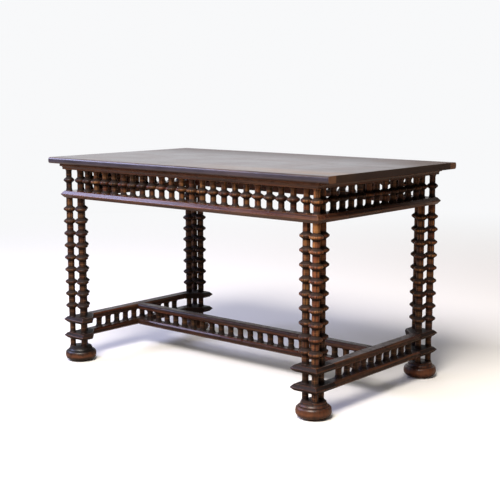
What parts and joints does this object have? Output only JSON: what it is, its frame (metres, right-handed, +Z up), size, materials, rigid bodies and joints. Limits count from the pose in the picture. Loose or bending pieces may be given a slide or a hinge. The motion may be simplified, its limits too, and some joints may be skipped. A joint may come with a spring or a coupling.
{
  "type": "bobbin turned table",
  "caption": "Rectangular wooden table with legs of clustered ring-turned spindles on bun feet, an open spindle frieze under the top and doubled stretcher rails filled with spindles",
  "frame": {"origin": "on the floor under the middle of the top", "axes": "+X along the length to the right, +Y to the back, +Z up"},
  "size_m": [1.24, 0.722, 0.74],
  "materials": {
    "top_wood": "worn wax polish",
    "rail_wood": "aged wax polish",
    "turned_wood": "aged satin polish",
    "foot_wood": "aged satin polish",
    "bearer_wood": "bare oiled wood"
  },
  "bodies": {
    "root": {"bed_moulding_back": "rail_wood", "bed_moulding_front": "rail_wood", "bed_moulding_left": "rail_wood", "bed_moulding_right": "rail_wood", "centre_stretcher_rail_lower": "rail_wood", "centre_stretcher_rail_upper": "rail_wood", "centre_stretcher_spindles": "turned_wood", "corner_frieze_spindles": "turned_wood", "foot_back_left": "foot_wood", "foot_back_right": "foot_wood", "foot_front_left": "foot_wood", "foot_front_right": "foot_wood", "foot_spindles": "turned_wood", "frieze_spindles_back": "turned_wood", "frieze_spindles_front": "turned_wood", "frieze_spindles_left": "turned_wood", "frieze_spindles_right": "turned_wood", "leg_spindle_back_left_inner_left": "turned_wood", "leg_spindle_back_left_inner_right": "turned_wood", "leg_spindle_back_left_outer": "turned_wood", "leg_spindle_back_right_inner_left": "turned_wood", "leg_spindle_back_right_inner_right": "turned_wood", "leg_spindle_back_right_outer": "turned_wood", "leg_spindle_front_left_inner_left": "turned_wood", "leg_spindle_front_left_inner_right": "turned_wood", "leg_spindle_front_left_outer": "turned_wood", "leg_spindle_front_right_inner_left": "turned_wood", "leg_spindle_front_right_inner_right": "turned_wood", "leg_spindle_front_right_outer": "turned_wood", "lower_frieze_rail_back": "rail_wood", "lower_frieze_rail_front": "rail_wood", "lower_frieze_rail_left": "rail_wood", "lower_frieze_rail_right": "rail_wood", "plate_spindles": "turned_wood", "side_stretcher_rail_lower_left": "rail_wood", "side_stretcher_rail_lower_right": "rail_wood", "side_stretcher_rail_upper_left": "rail_wood", "side_stretcher_rail_upper_right": "rail_wood", "side_stretcher_spindles_left": "turned_wood", "side_stretcher_spindles_right": "turned_wood", "stretcher_plate_lower_back_left": "rail_wood", "stretcher_plate_lower_back_right": "rail_wood", "stretcher_plate_lower_front_left": "rail_wood", "stretcher_plate_lower_front_right": "rail_wood", "stretcher_plate_upper_back_left": "rail_wood", "stretcher_plate_upper_back_right": "rail_wood", "stretcher_plate_upper_front_left": "rail_wood", "stretcher_plate_upper_front_right": "rail_wood", "top_back_board": "top_wood", "top_back_strip": "top_wood", "top_bearer_left": "bearer_wood", "top_bearer_right": "bearer_wood", "top_front_board": "top_wood", "top_front_strip": "top_wood", "upper_frieze_rail_back": "rail_wood", "upper_frieze_rail_front": "rail_wood", "upper_frieze_rail_left": "rail_wood", "upper_frieze_rail_right": "rail_wood"}
  },
  "joints": []
}
